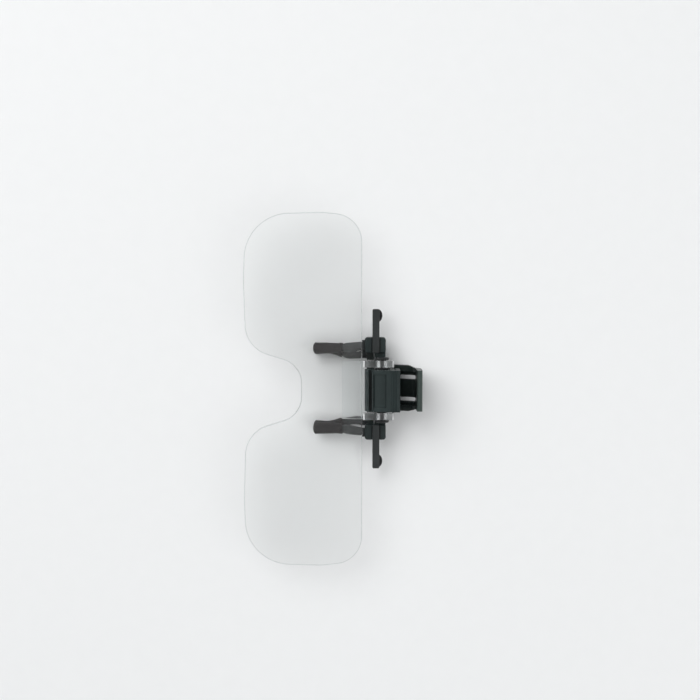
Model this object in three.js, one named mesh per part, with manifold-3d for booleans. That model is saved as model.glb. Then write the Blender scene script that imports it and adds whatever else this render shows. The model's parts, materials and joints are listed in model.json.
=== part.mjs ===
// Clip-on magnifier: a pair of clear lenses on a flip-up hinge, carried by a sprung four-legged clip.
// Millimetres. While it is built, X runs from the lenses up to the thumb shelf, Y along the lens
// pair and Z out of the front, all measured from the flip axis. The whole is then set on its back.
import * as THREE from "three";
import { mergeVertices } from "three/addons/utils/BufferGeometryUtils.js";
import Module from "manifold-3d";

const wasm = await Module();
wasm.setup();

// How finely round forms are stepped
const weldDistance = 1e-4;
const cornerSteps = 5;
const bendSteps = 8;
const pinSides = 20;
const stemSides = 12;
const barrelSides = 40;
const blankSides = 36;
const blankSteps = 10;
const legSides = 12;
const legSteps = 12;
const tipSides = 16;
const tipSteps = 8;
const domeSteps = 4;
const curlSteps = 8;
const wireSides = 5;
const searchSteps = 30;

// Fits shared by all pieces
const seatGap = 0.3; // between pieces that are set into or against each other
const runningGap = 0.08; // round a pin, on the radius
const overrun = 1; // how far a cutting body reaches past what it cuts

// Lens pair
const lensClearance = 0.9; // between the lenses' top edge and the hinge barrel
const lensHeight = 41;
const lensHalfWidth = 62.5;
const outerTopRadius = 10;
const outerBottomRadius = 16;
const noseBottomRadius = 11;
const notchRadius = 8.6;
const notchDepth = 19.5;
const notchHalfWidth = 8.8;
const notchFlare = 6;
const edgeBow = 0.7; // how far the long edges swell
const lensSurfaceRadius = 122.5;
const lensCentreThickness = 4.9;
const lensRimThickness = 1.4;
const lensBack = 1; // flip axis to the flat back face
const opticalSpacing = 70;

// Clear hinge bracket
const plateThickness = 1.8;
const plateLap = 7.1; // how far the plate lies over the lens bridge
const earThickness = 2.3;
const earReach = 4.2; // past the flip axis
const earHalfDepth = 2.6;
const earRadius = 1;
const earLensGap = seatGap;

// Hinge barrel and its block
const blockHalfWidth = 7.3;
const barrelRadius = 6.1;
const blockHeight = 6.3; // flip axis to the top of the grip cover
const blockRear = 5.8; // flip axis to the back of the block
const noseStrip = 1.4; // part of the barrel that shows below the cover
const grooveWidth = 1.1;
const grooveFloor = 0.6; // how far forward of the flip axis the groove's floor is
const coverSeat = 2.6; // height of the face that the cover lies on
const coverTopWall = 1.5;
const coverSkirt = 5; // how far the cover's top wall reaches back
const gripStep = 0.6;
const gripStart = 3.2;
const gripCorner = 1;
const ridgeCount = 3;
const ridgeDepth = 0.2;
const panelStart = -3.1;
const panelEnd = 1.4;
const panelHalfWidth = 5.8;
const panelDepth = 0.45;

// Flip hinge pin and friction washers
const hingePinRadius = 1.7;
const hingeHeadRadius = 2.5;
const pinHeadThickness = 0.8;
const pinHeadRound = 0.35;
const washerRadius = 2.8;
const washerThickness = 0.5;

// Cross bar, shoulders and pivot lugs of the front frame
const barTop = 1.4;
const barBottom = 2.5;
const barThickness = 2.2;
const shoulderInner = 12.7;
const shoulderWidth = 5.6;
const shoulderTop = 1.5;
const shoulderBottom = 6;
const shoulderFront = 4.6;
const shoulderRear = 8.8;
const shoulderRadius = 1;
const mouldBevel = 0.35;
const lugInner = 3.4;
const lugThickness = 1.6;
const pivotRadius = 1.9; // outer radius of the lugs and knuckles

// Jaw pivot and spring
const pivotX = -0.5;
const pivotDrop = 10.3; // flip axis back to the jaw pin
const jawPinRadius = 0.9;
const jawHeadRadius = 1.5;
const wireRadius = 0.3;
const coilRadius = 1.65;
const coilPitch = 1.06;
const coilTurns = 5;
const springEndBend = 0.9;
const springReach = 2.4; // from the lever's knee up to where the spring's end presses

// Rear jaw
const floorDrop = 13; // flip axis to the face that the clip lies on
const jawThickness = 2;
const shelfThickness = 1.9;
const shelfTop = 14.1;
const shelfFront = 5;
const jawSweep = 6; // radius of the bend from lever to shelf
const leverLean = Math.PI / 8; // of the lever above the window
const jawHalfWidth = 8.2;
const shelfHalfWidth = 7.2;
const shelfNarrowing = 2.4; // length of the corner between the two widths
const ribWidth = 2.2;
const ribHeight = 1;
const slotInner = 3.2;
const slotWidth = 1.5;
const slotStart = 5.4;
const windowTop = 3.4; // jaw pin up to the top of the window
const windowBottom = 2.7; // jaw pin down to the rail
const railHeight = 2;
const wingHalfWidth = 14.3;
const wingRise = 0.5; // of the leg carriers above the rail

// Side arms and their pads
const armEnd = 28.4;
const armBottom = 3.3;
const armHeight = 2.5;
const armFront = 3.5;
const armThickness = 1.8;
const armBevel = 0.25;
const padHalfLength = 2.35;
const padHalfWidth = 1.75;
const padThickness = 1.8;
const padEdge = 0.4;
const padTop = 0.3; // flip axis up to the pad's upper edge
const padCentre = 26;
const padStemRadius = 0.65;
const padStemDepth = 1;

// Legs and tips
const tipStart = 14.3; // flip axis down to the collar of a tip
const tipEnd = 24.6;
const tipSpacing = 30.2; // between the tips of the two sides
const gripPlane = 9.6; // flip axis back to the plane where the tips meet
const tipHalfThickness = 1.8;
const gripFlatDepth = 0.4; // how deep the gripping face is cut into the front tip
const tipCollarHalfWidth = 1.75;
const tipToeHalfWidth = 2.1;
const legHalfThickness = 0.65;
const legRootHalfWidth = 1.65;
const legEndHalfWidth = 0.9;
const legSocket = 2.4; // how deep a leg's root is set
const legFloor = 1.2; // rubber left at the closed end of a tip
const legTaperShares = [0.35, 0.65]; // where along a leg it narrows
const legSquarenessShare = 0.6; // 1 is an ellipse, less is squarer
const tipSquarenessShare = 0.75;
const frontLegRootY = 15.7;
const frontLegRootDrop = 6.9;
const frontBow = 1.5; // how far the front leg bows forward
const rearLegRootY = 12.2;
const rearLegRootDrop = 12;
const rearBow = 0.25;
const rearInboardShares = [1, 0.5]; // how much of a leg's offset it keeps at its bow and collar
const frontInboardShares = [0.5, 0.1];

// What the sizes above give
const lensDrop = barrelRadius + lensClearance;
const earInner = blockHalfWidth + washerThickness + seatGap;
const earOuter = earInner + earThickness;
const lensTopX = -lensDrop;
const lensBottomX = lensTopX - lensHeight;
const notchX = lensBottomX + notchDepth;
const coverBottomX = grooveWidth + noseStrip - barrelRadius;
const shelfUnder = shelfTop - shelfThickness;
const jawFrontZ = jawThickness - floorDrop;
const barRearZ = -blockRear - barThickness;
const shoulderOuter = shoulderInner + shoulderWidth;
const armRearZ = -armFront - armThickness;
const railTopX = pivotX - windowBottom;
const railBottomX = railTopX - railHeight;

const plastic = (color, roughness) => new THREE.MeshStandardMaterial({ color, roughness, metalness: 0 });
const blackPlastic = () => plastic(0x3b4141, 0.45);
const darkPlastic = () => plastic(0x24282a, 0.4);
const rubber = () => plastic(0x2f2b2b, 0.85);
const clear = () =>
  new THREE.MeshStandardMaterial({ color: 0xf4f7f8, roughness: 0.05, transparent: true, opacity: 0.3 });
const paintedSteel = () =>
  new THREE.MeshStandardMaterial({ color: 0x35393a, roughness: 0.4, metalness: 0.6 });
const blackSteel = () =>
  new THREE.MeshStandardMaterial({ color: 0x222526, roughness: 0.35, metalness: 0.6 });
const brightSteel = () => new THREE.MeshStandardMaterial({ color: 0xb9bcc0, roughness: 0.3, metalness: 1 });

// Turns a shape's X and Y into the part's X and Z, so that its depth runs along Y.
const uprightTurn = (y) => new THREE.Matrix4().set(1, 0, 0, 0, 0, 0, -1, y, 0, 1, 0, 0, 0, 0, 0, 1);

// A closed geometry as a solid that can be joined and cut.
function solid(geometry) {
  const bare = geometry.index ? geometry.toNonIndexed() : geometry.clone();
  for (const name of Object.keys(bare.attributes)) if (name !== "position") bare.deleteAttribute(name);
  const merged = mergeVertices(bare, weldDistance);
  return new wasm.Manifold(
    new wasm.Mesh({
      numProp: 3,
      vertProperties: merged.attributes.position.array,
      triVerts: new Uint32Array(merged.index.array),
    }),
  );
}

// A solid as a geometry for a mesh.
function surface(body) {
  const { numProp, vertProperties, triVerts } = body.getMesh();
  const positions = new Float32Array((vertProperties.length / numProp) * 3);
  for (let i = 0; i < positions.length / 3; i += 1) {
    positions.set(vertProperties.subarray(i * numProp, i * numProp + 3), i * 3);
  }
  const geometry = new THREE.BufferGeometry();
  geometry.setAttribute("position", new THREE.BufferAttribute(positions, 3));
  geometry.setIndex(new THREE.BufferAttribute(new Uint32Array(triVerts), 1));
  geometry.computeVertexNormals();
  return geometry;
}

const join = (...bodies) => bodies.reduce((whole, body) => whole.add(body));
const cut = (body, ...cutters) => cutters.reduce((rest, cutter) => rest.subtract(cutter), body);

const block = (x0, x1, y0, y1, z0, z1) =>
  solid(
    new THREE.BoxGeometry(x1 - x0, y1 - y0, z1 - z0).translate((x0 + x1) / 2, (y0 + y1) / 2, (z0 + z1) / 2),
  );

// A front-view outline, extruded from z0 to z1 with eased edges.
function slab(shape, z0, z1, bevel = 0, curveSegments = cornerSteps) {
  const geometry = new THREE.ExtrudeGeometry(shape, {
    depth: z1 - z0 - 2 * bevel,
    bevelEnabled: bevel > 0,
    bevelThickness: bevel,
    bevelSize: bevel,
    bevelOffset: -bevel,
    bevelSegments: 1,
    curveSegments,
  });
  return solid(geometry.translate(0, 0, z0 + bevel));
}

// A side-view outline in X and Z, extruded along Y.
function upright(shape, y0, y1, bevel = 0, curveSegments = cornerSteps) {
  const geometry = new THREE.ExtrudeGeometry(shape, {
    depth: y1 - y0 - 2 * bevel,
    bevelEnabled: bevel > 0,
    bevelThickness: bevel,
    bevelSize: bevel,
    bevelOffset: -bevel,
    bevelSegments: 1,
    curveSegments,
  });
  return solid(geometry.applyMatrix4(uprightTurn(y1 - bevel)));
}

// A body of revolution about a line along Y, from [radius, y] pairs.
const turned = (profile, x, z, segments = pinSides) =>
  solid(
    new THREE.LatheGeometry(
      profile.map(([radius, y]) => new THREE.Vector2(radius, y)),
      segments,
    ).translate(x, 0, z),
  );

// A round bar along Y.
const rod = (radius, y0, y1, x, z, segments = pinSides) =>
  turned([[0, y0], [radius, y0], [radius, y1], [0, y1]], x, z, segments);

// A closed outline through corners, each [x, y, radius].
function rounded(corners) {
  const shape = new THREE.Shape();
  corners.forEach(([x, y, radius], i) => {
    const corner = new THREE.Vector2(x, y);
    const before = new THREE.Vector2(...corners.at(i - 1));
    const after = new THREE.Vector2(...corners[(i + 1) % corners.length]);
    const towardsBefore = before.sub(corner).normalize();
    const towardsAfter = after.sub(corner).normalize();
    const halfAngle = Math.acos(THREE.MathUtils.clamp(towardsBefore.dot(towardsAfter), -1, 1)) / 2;
    if (radius === 0) {
      if (i === 0) shape.moveTo(x, y);
      else shape.lineTo(x, y);
      return;
    }
    const bisector = towardsBefore.clone().add(towardsAfter).normalize();
    const centre = corner.clone().addScaledVector(bisector, radius / Math.sin(halfAngle));
    const reach = radius / Math.tan(halfAngle);
    const start = corner.clone().addScaledVector(towardsBefore, reach);
    const end = corner.clone().addScaledVector(towardsAfter, reach);
    const angle = (point) => Math.atan2(point.y - centre.y, point.x - centre.x);
    const clockwise = towardsBefore.cross(towardsAfter) > 0;
    if (i === 0) shape.moveTo(start.x, start.y);
    else shape.lineTo(start.x, start.y);
    shape.absarc(centre.x, centre.y, radius, angle(start), angle(end), clockwise);
  });
  shape.closePath();
  return shape;
}

const roundedBox = (x0, x1, y0, y1, radius) =>
  rounded([
    [x0, y0, radius],
    [x1, y0, radius],
    [x1, y1, radius],
    [x0, y1, radius],
  ]);

// A closed body through rings of points, fanned shut at both ends.
function loft(rings) {
  const positions = [];
  const count = rings[0].length;
  const put = (...points) => points.forEach((point) => positions.push(point.x, point.y, point.z));
  for (let i = 0; i < rings.length - 1; i += 1) {
    for (let j = 0; j < count; j += 1) {
      const k = (j + 1) % count;
      put(rings[i][j], rings[i][k], rings[i + 1][k]);
      put(rings[i][j], rings[i + 1][k], rings[i + 1][j]);
    }
  }
  const middle = (ring) => ring.reduce((sum, p) => sum.add(p), new THREE.Vector3()).divideScalar(count);
  const [first, last] = [rings[0], rings.at(-1)];
  for (let j = 0; j < count; j += 1) {
    const k = (j + 1) % count;
    put(middle(first), first[k], first[j]);
    put(middle(last), last[j], last[k]);
  }
  const geometry = new THREE.BufferGeometry();
  geometry.setAttribute("position", new THREE.Float32BufferAttribute(positions, 3));
  return solid(geometry);
}

// A rounded ring square to a path: width lies along Y, thickness across it.
function ring(centre, tangent, halfWidth, halfThickness, sides, squarenessShare) {
  const side = new THREE.Vector3(0, 1, 0);
  side.addScaledVector(tangent, -side.dot(tangent)).normalize();
  const normal = new THREE.Vector3().crossVectors(tangent, side);
  const swell = (value) => Math.sign(value) * Math.abs(value) ** squarenessShare;
  return Array.from({ length: sides }, (_, i) => {
    const angle = (2 * Math.PI * (i + 0.5)) / sides;
    return centre
      .clone()
      .addScaledVector(side, halfWidth * swell(Math.cos(angle)))
      .addScaledVector(normal, halfThickness * swell(Math.sin(angle)));
  });
}

const pieces = new THREE.Group();

function add(name, body, finish) {
  const piece = new THREE.Mesh(surface(body), finish);
  piece.name = name;
  pieces.add(piece);
}

// Sides: left and right as the wearer has them, with the front towards +Z.
const sides = [
  ["left", 1],
  ["right", -1],
];

// Lens pair: two spherical blanks on a thin common sheet, all cut to one outline.
function lensOutline() {
  const flareY = notchHalfWidth + notchFlare;
  const half = [
    [notchX, notchHalfWidth, notchRadius],
    [lensBottomX, flareY, noseBottomRadius],
    [lensBottomX - edgeBow, (flareY + lensHalfWidth) / 2, lensHeight],
    [lensBottomX, lensHalfWidth - edgeBow, outerBottomRadius],
    [lensTopX - lensHeight / 3, lensHalfWidth, lensHeight / 2],
    [lensTopX, lensHalfWidth - 2 * edgeBow, outerTopRadius],
  ];
  const mirrored = half.map(([x, y, radius]) => [x, -y, radius]).reverse();
  return rounded([...half, ...mirrored]);
}

function lensBlank(y) {
  const blankRadius = lensHeight;
  const profile = [[0, -lensBack], [blankRadius, -lensBack]];
  const apex = lensCentreThickness - lensBack;
  for (let i = blankSteps; i >= 0; i -= 1) {
    const radius = (blankRadius * i) / blankSteps;
    const drop = lensSurfaceRadius - Math.sqrt(lensSurfaceRadius ** 2 - radius ** 2);
    const height = apex - drop;
    profile.push([radius, Math.max(height, lensRimThickness / 2 - lensBack)]);
  }
  const geometry = new THREE.LatheGeometry(
    profile.map(([radius, z]) => new THREE.Vector2(radius, z)),
    blankSides,
  );
  const centreX = lensTopX - lensHeight / 2;
  return solid(geometry.applyMatrix4(uprightTurn(0))).translate([centreX, y, 0]);
}

function makeLensPair() {
  const outline = slab(lensOutline(), -lensBack, lensCentreThickness, 0, bendSteps);
  const sheet = slab(lensOutline(), -lensBack, lensRimThickness - lensBack, 0, bendSteps);
  const lobes = join(lensBlank(opticalSpacing / 2), lensBlank(-opticalSpacing / 2)).intersect(outline);
  add("lens_pair", join(sheet, lobes), clear());
}

// Clear bracket: a plate behind the bridge and two ears that straddle the block.
function makeHingeBracket() {
  const plateFrontZ = -lensBack - seatGap;
  const plateRearZ = plateFrontZ - plateThickness;
  const plateTopX = -barrelRadius - seatGap - runningGap;
  const earBottomX = lensTopX + earLensGap;
  const plate = slab(
    roundedBox(lensTopX - plateLap, plateTopX, -earOuter, earOuter, earRadius / 2),
    plateRearZ,
    plateFrontZ,
  );
  const ear = roundedBox(earBottomX, earReach, plateRearZ, earHalfDepth, earRadius);
  const ears = sides.map(([, sign]) =>
    upright(ear, sign > 0 ? earInner : -earOuter, sign > 0 ? earOuter : -earInner),
  );
  const bore = rod(hingePinRadius + runningGap, -earOuter - overrun, earOuter + overrun, 0, 0);
  add("hinge_bracket", cut(join(plate, ...ears), bore), clear());
}

// A headed pin along Y that holds everything up to halfLength on either side.
function headedPin(radius, headRadius, halfLength, x, z) {
  const seat = halfLength + seatGap;
  const end = seat + pinHeadThickness;
  const half = [
    [radius, seat],
    [headRadius, seat],
    [headRadius, end - pinHeadRound],
    [headRadius - pinHeadRound, end],
    [0, end],
  ];
  const mirrored = half.map(([r, y]) => [r, -y]).reverse();
  return turned([...mirrored, ...half], x, z);
}

function makeFlipHinge() {
  add("hinge_pin", headedPin(hingePinRadius, hingeHeadRadius, earOuter, 0, 0), blackSteel());
  for (const [side, sign] of sides) {
    const near = sign > 0 ? blockHalfWidth : -blockHalfWidth - washerThickness;
    const far = near + washerThickness;
    const bore = hingePinRadius + runningGap;
    const profile = [
      [bore, near],
      [washerRadius, near],
      [washerRadius, far],
      [bore, far],
      [bore, near],
    ];
    add(`friction_washer_${side}`, turned(profile, 0, 0), blackSteel());
  }
}

// Path of a leg, from its root in the frame to its end inside the rubber.
function legPath(sign, rootY, rootX, rootDrop, bow, endDrop, inboardShares) {
  const tipY = tipSpacing / 2;
  const exitX = rootX - legSocket;
  const bowX = (exitX - tipStart) / 2;
  const endX = legFloor - tipEnd;
  const midDrop = (rootDrop + endDrop) / 2;
  const [bowY, collarY] = inboardShares.map((share) => THREE.MathUtils.lerp(tipY, rootY, share));
  return new THREE.CatmullRomCurve3(
    [
      new THREE.Vector3(rootX, sign * rootY, -rootDrop),
      new THREE.Vector3(exitX, sign * rootY, -rootDrop + bow / 3),
      new THREE.Vector3(bowX, sign * bowY, -midDrop + bow),
      new THREE.Vector3(-tipStart, sign * collarY, -(midDrop + endDrop) / 2 + bow / 4),
      new THREE.Vector3((endX - tipStart) / 2, sign * tipY, -endDrop),
      new THREE.Vector3(endX, sign * tipY, -endDrop),
    ],
    false,
    "centripetal",
  );
}

// A leg's solid; a clearance above zero gives the socket that it sits in.
function legBody(path, clearance) {
  const rings = [];
  for (let i = 0; i <= legSteps; i += 1) {
    const share = i / legSteps;
    const centre = path.getPointAt(share);
    const tangent = path.getTangentAt(share);
    const blend = THREE.MathUtils.smoothstep(share, ...legTaperShares);
    const halfWidth = THREE.MathUtils.lerp(legRootHalfWidth, legEndHalfWidth, blend);
    if (i === 0) centre.addScaledVector(tangent, -clearance);
    if (i === legSteps) centre.addScaledVector(tangent, clearance);
    const halfThickness = legHalfThickness + clearance;
    rings.push(ring(centre, tangent, halfWidth + clearance, halfThickness, legSides, legSquarenessShare));
  }
  return loft(rings);
}

// A rubber tip: a sleeve along the end of its leg, with a wide rounded toe and a flat gripping face.
function tipBody(path, facing) {
  const length = tipEnd - tipStart;
  const rings = [];
  const startShare = pathShareAt(path, -tipStart);
  for (let i = 0; i <= tipSteps; i += 1) {
    const share = i / tipSteps;
    const along = Math.min(startShare + share * (1 - startShare), 1);
    const centre = path.getPointAt(along);
    const tangent = path.getTangentAt(along);
    const width = THREE.MathUtils.lerp(tipCollarHalfWidth, tipToeHalfWidth, Math.sin((share * Math.PI) / 2));
    rings.push(ring(centre, tangent, width, tipHalfThickness, tipSides, tipSquarenessShare));
  }
  const endTangent = path.getTangentAt(1);
  for (let i = 1; i <= domeSteps; i += 1) {
    const angle = (Math.PI / 2) * (i / (domeSteps + 1 / 4));
    const centre = path.getPointAt(1).addScaledVector(endTangent, legFloor * Math.sin(angle));
    const halfWidth = tipToeHalfWidth * Math.cos(angle);
    const halfThickness = tipHalfThickness * Math.cos(angle);
    rings.push(ring(centre, endTangent, halfWidth, halfThickness, tipSides, tipSquarenessShare));
  }
  const grip = -gripPlane + (facing * seatGap) / 2;
  const beyond = grip - facing * length;
  const toeX = -tipEnd - overrun;
  const flat = block(toeX, 0, -tipSpacing, tipSpacing, Math.min(grip, beyond), Math.max(grip, beyond));
  const under = block(toeX, 0, -tipSpacing, tipSpacing, -2 * floorDrop, -floorDrop);
  return cut(loft(rings), flat, under, legBody(path, runningGap));
}

// The share of a path's length at which it passes a given X.
function pathShareAt(path, x) {
  let low = 0;
  let high = 1;
  for (let i = 0; i < searchSteps; i += 1) {
    const middle = (low + high) / 2;
    if (path.getPointAt(middle).x > x) low = middle;
    else high = middle;
  }
  return low;
}

const endDropFront = gripPlane - seatGap / 2 + gripFlatDepth - tipHalfThickness;
const endDropRear = floorDrop - tipHalfThickness;
const frontRootX = -shoulderBottom + legSocket;
const rearRootX = railBottomX + legSocket;
const frontPath = (sign) =>
  legPath(
    sign,
    frontLegRootY,
    frontRootX,
    frontLegRootDrop,
    frontBow,
    endDropFront,
    frontInboardShares,
  );
const rearPath = (sign) =>
  legPath(sign, rearLegRootY, rearRootX, rearLegRootDrop, -rearBow, endDropRear, rearInboardShares);

function makeLegs() {
  for (const [side, sign] of sides) {
    add(`front_leg_${side}`, legBody(frontPath(sign), 0), paintedSteel());
    add(`front_tip_${side}`, tipBody(frontPath(sign), 1), rubber());
    add(`rear_leg_${side}`, legBody(rearPath(sign), 0), paintedSteel());
    add(`rear_tip_${side}`, tipBody(rearPath(sign), -1), rubber());
  }
}

// Front frame: hinge barrel, cross bar, two shoulders with arm channels, and the lugs of the jaw pin.
function makeFrontFrame() {
  const barrel = rod(barrelRadius, -blockHalfWidth, blockHalfWidth, 0, 0, barrelSides);
  const coreTopX = blockHeight - coverTopWall - seatGap;
  const coverStartX = noseStrip - barrelRadius;
  const core = block(coverStartX, coreTopX, -blockHalfWidth, blockHalfWidth, -blockRear, coverSeat);
  const reach = barrelRadius + blockHeight;
  const wide = blockHalfWidth + overrun;
  const coverSpace = block(coverStartX, reach, -wide, wide, coverSeat, reach);
  const topSpace = block(coreTopX, reach, -wide, wide, -reach, reach);
  const groove = block(coverStartX, coverBottomX, -wide, wide, grooveFloor, coverSeat + overrun);
  const knuckle = cut(join(barrel, core), coverSpace, topSpace, groove);

  const bar = slab(
    roundedBox(-barBottom, barTop, -shoulderInner - overrun, shoulderInner + overrun, 2 * mouldBevel),
    barRearZ,
    -blockRear,
    mouldBevel,
  );
  const neck = block(
    mouldBevel - barBottom,
    barTop - mouldBevel,
    -blockHalfWidth,
    blockHalfWidth,
    barRearZ + mouldBevel,
    -blockRear + overrun,
  );
  const shoulder = (sign) =>
    slab(
      roundedBox(
        -shoulderBottom,
        shoulderTop,
        Math.min(sign * shoulderInner, sign * shoulderOuter),
        Math.max(sign * shoulderInner, sign * shoulderOuter),
        shoulderRadius,
      ),
      -shoulderRear,
      -shoulderFront,
      2 * mouldBevel,
    );
  const lug = (sign) => {
    const y0 = sign > 0 ? lugInner : -lugInner - lugThickness;
    const y1 = y0 + lugThickness;
    return join(
      rod(pivotRadius, y0, y1, pivotX, -pivotDrop),
      block(pivotX - pivotRadius, pivotX + pivotRadius, y0, y1, -pivotDrop, barRearZ + mouldBevel),
    );
  };
  const arms = sides.map(([, sign]) => {
    const inner = sign * (shoulderInner - overrun);
    const outer = sign * (shoulderOuter + overrun);
    return block(
      -armBottom - seatGap,
      armHeight - armBottom + seatGap,
      Math.min(inner, outer),
      Math.max(inner, outer),
      armRearZ - seatGap,
      -shoulderFront + overrun,
    );
  });
  const sockets = sides.map(([, sign]) => legBody(frontPath(sign), runningGap));
  const hingeBore = rod(hingePinRadius + runningGap, -wide, wide, 0, 0);
  const jawBore = rod(jawPinRadius + runningGap, -wide, wide, pivotX, -pivotDrop);
  const whole = join(bar, neck, knuckle, ...sides.map(([, sign]) => shoulder(sign)));
  const frame = join(whole, ...sides.map(([, sign]) => lug(sign)));
  add("front_frame", cut(frame, ...arms, ...sockets, hingeBore, jawBore), blackPlastic());
}

// Grip cover: follows the barrel at the bottom, then steps up to a ridged thumb grip.
function makeGripCover() {
  const gripTop = barrelRadius + gripStep;
  const startAngle = Math.acos(coverBottomX / barrelRadius);
  const profile = new THREE.Shape();
  profile.moveTo(coverBottomX, coverSeat + seatGap);
  profile.lineTo(coverBottomX, barrelRadius * Math.sin(startAngle));
  profile.absarc(0, 0, barrelRadius, startAngle, Math.PI / 2, true);
  profile.lineTo(gripStart, barrelRadius);
  profile.lineTo(gripStart + gripStep / 2, gripTop);
  const ridgeSpan = blockHeight - gripCorner - gripStart - gripStep;
  const ridgePitch = ridgeSpan / ridgeCount;
  for (let i = 0; i < ridgeCount; i += 1) {
    const x = gripStart + gripStep + i * ridgePitch;
    profile.lineTo(x, gripTop);
    profile.lineTo(x + ridgePitch / 4, gripTop - ridgeDepth);
    profile.lineTo(x + ridgePitch / 2, gripTop);
  }
  profile.lineTo(blockHeight - gripCorner, gripTop);
  profile.absarc(blockHeight - gripCorner, gripTop - gripCorner, gripCorner, Math.PI / 2, 0, true);
  profile.lineTo(blockHeight, -coverSkirt);
  profile.lineTo(blockHeight - coverTopWall, -coverSkirt);
  profile.lineTo(blockHeight - coverTopWall, coverSeat + seatGap);
  profile.closePath();

  const floorRadius = barrelRadius - panelDepth;
  const outside = barrelRadius + overrun;
  const panelAngle = Math.acos(panelStart / floorRadius);
  const recess = new THREE.Shape();
  recess.moveTo(panelStart, floorRadius * Math.sin(panelAngle));
  recess.absarc(0, 0, floorRadius, panelAngle, Math.acos(panelEnd / floorRadius), true);
  recess.lineTo(panelEnd, outside);
  recess.lineTo(panelStart, outside);
  recess.closePath();

  const shell = upright(profile, -blockHalfWidth, blockHalfWidth, 0, bendSteps);
  const panel = upright(recess, -panelHalfWidth, panelHalfWidth, 0, bendSteps);
  add("grip_cover", cut(shell, panel), blackPlastic());
}

// Rear jaw, seen from the side: a flat back at the pin, a lever that leans forward, and the thumb shelf.
// The band between depth0 and depth1 behind the lever's back face gives the lever or its ribs.
function jawProfile(depth0, depth1) {
  const lean = new THREE.Vector2(Math.cos(leverLean), Math.sin(leverLean));
  const bendCentre = new THREE.Vector2(shelfTop - jawSweep, 0);
  const kneeX = pivotX + windowTop;
  const run = (bendCentre.x + jawSweep * lean.y - kneeX) / lean.x;
  bendCentre.y = -floorDrop + run * lean.y + jawSweep * lean.x;
  const halfKnee = Math.tan(leverLean / 2);
  const kneeAt = (depth) => new THREE.Vector2(kneeX - depth * halfKnee, depth - floorDrop);
  const startAngle = leverLean - Math.PI / 2;
  const [outer, inner] = [kneeAt(depth0), kneeAt(depth1)];
  return { outer, inner, bendCentre, startAngle };
}

function leverProfile() {
  const { outer, inner, bendCentre, startAngle } = jawProfile(0, jawThickness);
  const lipRadius = shelfThickness / 2;
  const profile = new THREE.Shape();
  profile.moveTo(railBottomX, -floorDrop);
  profile.lineTo(railBottomX, jawFrontZ);
  profile.lineTo(inner.x, inner.y);
  profile.absarc(bendCentre.x, bendCentre.y, jawSweep - jawThickness, startAngle, 0, false);
  profile.lineTo(shelfUnder, shelfFront - lipRadius);
  profile.absarc(shelfUnder + lipRadius, shelfFront - lipRadius, lipRadius, Math.PI, 0, true);
  profile.lineTo(shelfTop, bendCentre.y);
  profile.absarc(bendCentre.x, bendCentre.y, jawSweep, 0, startAngle, true);
  profile.lineTo(outer.x, outer.y);
  profile.closePath();
  return profile;
}

// A stiffening rib that follows the lever's front face from the window into the bend.
function ribProfile() {
  const { inner, outer, bendCentre, startAngle } = jawProfile(jawThickness / 2, jawThickness + ribHeight);
  const profile = new THREE.Shape();
  profile.moveTo(outer.x, outer.y);
  profile.lineTo(inner.x, inner.y);
  profile.absarc(bendCentre.x, bendCentre.y, jawSweep - jawThickness - ribHeight, startAngle, 0, false);
  profile.absarc(bendCentre.x, bendCentre.y, jawSweep - jawThickness / 2, 0, startAngle, true);
  profile.closePath();
  return profile;
}

function makeRearJaw() {
  const band = (sign, inner, outer) => (sign > 0 ? [inner, outer] : [-outer, -inner]);
  const narrowX = shelfUnder - shelfNarrowing;
  const frontOutline = rounded([
    [railBottomX - overrun, -jawHalfWidth, 0],
    [narrowX, -jawHalfWidth, jawThickness],
    [shelfUnder, -shelfHalfWidth, jawThickness],
    [shelfTop + overrun, -shelfHalfWidth, 0],
    [shelfTop + overrun, shelfHalfWidth, 0],
    [shelfUnder, shelfHalfWidth, jawThickness],
    [narrowX, jawHalfWidth, jawThickness],
    [railBottomX - overrun, jawHalfWidth, 0],
  ]);
  const lever = upright(leverProfile(), -jawHalfWidth, jawHalfWidth, mouldBevel, bendSteps);
  const ribs = sides.map(([, sign]) => {
    const [y0, y1] = band(sign, jawHalfWidth - ribWidth, jawHalfWidth);
    return upright(ribProfile(), y0, y1, 0, bendSteps);
  });
  const within = slab(frontOutline, -floorDrop - overrun, shelfFront + overrun);
  const bent = join(lever, ...ribs).intersect(within);
  const wings = slab(
    roundedBox(railBottomX, railTopX + wingRise, -wingHalfWidth, wingHalfWidth, mouldBevel * 2),
    -floorDrop,
    jawFrontZ,
    mouldBevel,
  );
  const windowHalfWidth = lugInner + lugThickness + seatGap;
  const knuckle = (sign) => {
    const [y0, y1] = band(sign, windowHalfWidth, jawHalfWidth);
    return join(
      rod(pivotRadius, y0, y1, pivotX, -pivotDrop),
      block(pivotX - pivotRadius, pivotX + pivotRadius, y0, y1, jawFrontZ - jawThickness / 2, -pivotDrop),
    );
  };
  const window = block(
    railTopX,
    pivotX + windowTop,
    -windowHalfWidth,
    windowHalfWidth,
    -floorDrop - overrun,
    -blockRear,
  );
  const slots = sides.map(([, sign]) => {
    const [y0, y1] = band(sign, slotInner, slotInner + slotWidth);
    return block(slotStart, shelfUnder, y0, y1, -floorDrop - overrun, -blockRear + overrun);
  });
  const sockets = sides.map(([, sign]) => legBody(rearPath(sign), runningGap));
  const wide = jawHalfWidth + overrun;
  const bore = rod(jawPinRadius + runningGap, -wide, wide, pivotX, -pivotDrop);
  const body = join(cut(bent, window), cut(wings, window), ...sides.map(([, sign]) => knuckle(sign)));
  add("rear_jaw", cut(body, ...slots, ...sockets, bore), darkPlastic());
}

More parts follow.
